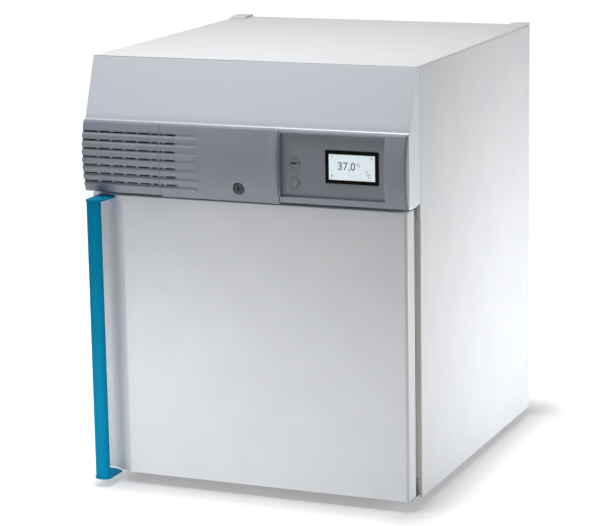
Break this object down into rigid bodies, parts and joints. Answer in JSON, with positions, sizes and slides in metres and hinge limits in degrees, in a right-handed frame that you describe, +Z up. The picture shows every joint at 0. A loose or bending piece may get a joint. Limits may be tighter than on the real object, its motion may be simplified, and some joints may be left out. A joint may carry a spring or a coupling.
{
  "type": "microbiological incubator",
  "caption": "Bench-top incubator: insulated chamber with shelves and a fan, right-hinged door with an upright bar handle, and a sloping louvred header with a display and lock.",
  "frame": {"origin": "on the floor, under the middle of the whole outline", "axes": "+Z up, the door and handle face -Y, +X to the right of someone facing the door"},
  "size_m": [0.71, 0.842, 0.9014],
  "materials": {
    "white_paint": "white powder coat, fine texture",
    "silver_grey": "silver-grey satin lacquer on a moulding",
    "band_grey": "mid grey satin moulded plastic",
    "control_grey": "darker grey matt moulded plastic",
    "black_gloss": "black gloss plastic",
    "screen": "lit touch screen glass, pale cyan-white",
    "teal": "teal satin paint",
    "stainless": "brushed stainless steel",
    "zinc": "zinc-plated sheet steel",
    "lock_chrome": "dull nickel",
    "foam": "rigid polyurethane foam",
    "rubber": "black rubber",
    "gasket_grey": "grey soft magnetic door seal",
    "board_green": "green circuit board",
    "filter_mat": "dark open-cell filter mat"
  },
  "bodies": {
    "cabinet": {"outer_housing": "white_paint", "stacking_lug_left": "white_paint", "stacking_lug_right": "white_paint", "rear_panel": "white_paint", "front_frame": "white_paint", "header_fascia": "silver_grey", "louvre_panel": "band_grey", "cover_panel": "band_grey", "control_bezel": "band_grey", "power_button_ring": "band_grey", "control_panel": "control_grey", "service_socket": "control_grey", "display_frame": "black_gloss", "mains_inlet": "black_gloss", "display_glass": "screen", "chamber_liner": "stainless", "rear_baffle": "stainless", "temperature_probe": "stainless", "shelf_rack_left": "stainless", "shelf_rack_right": "stainless", "shelf_lower": "stainless", "shelf_upper": "stainless", "hinge_pin_upper": "stainless", "hinge_pin_lower": "stainless", "base_plate": "zinc", "electronics_tray": "zinc", "power_supply": "zinc", "fan_motor": "zinc", "ring_heater": "zinc", "hinge_bracket_upper": "zinc", "hinge_bracket_lower": "zinc", "lock_body": "lock_chrome", "insulation": "foam", "foot_front_left": "rubber", "foot_front_right": "rubber", "foot_rear_left": "rubber", "foot_rear_right": "rubber", "control_board": "board_green", "air_filter": "filter_mat"},
    "door": {"door_shell": "white_paint", "door_foam": "foam", "door_inner_panel": "white_paint", "door_gasket": "gasket_grey", "handle_bar": "teal", "handle_end_top": "teal", "handle_end_bottom": "teal"},
    "lock": {"lock_rotor": "lock_chrome"},
    "button": {"power_button": "band_grey"},
    "fan": {"fan_wheel": "stainless"}
  },
  "joints": [
    {"name": "door_hinge", "type": "hinge", "parent": "cabinet", "child": "door", "pos_m": [0.336, -0.338, 0.023], "axis": [0, 0, 1], "range_deg": [0, 110]},
    {"name": "lock_turn", "type": "hinge", "parent": "cabinet", "child": "lock", "pos_m": [-0.005, -0.35, 0.646], "axis": [0, 1, 0], "range_deg": [0, 90]},
    {"name": "button_press", "type": "slide", "parent": "cabinet", "child": "button", "axis": [0, 1, 0], "range_m": [0, 0.0018], "stiffness_N_per_m": 500},
    {"name": "fan_spin", "type": "hinge", "parent": "cabinet", "child": "fan", "pos_m": [0, 0.326, 0.322], "axis": [0, 1, 0], "continuous": true}
  ]
}
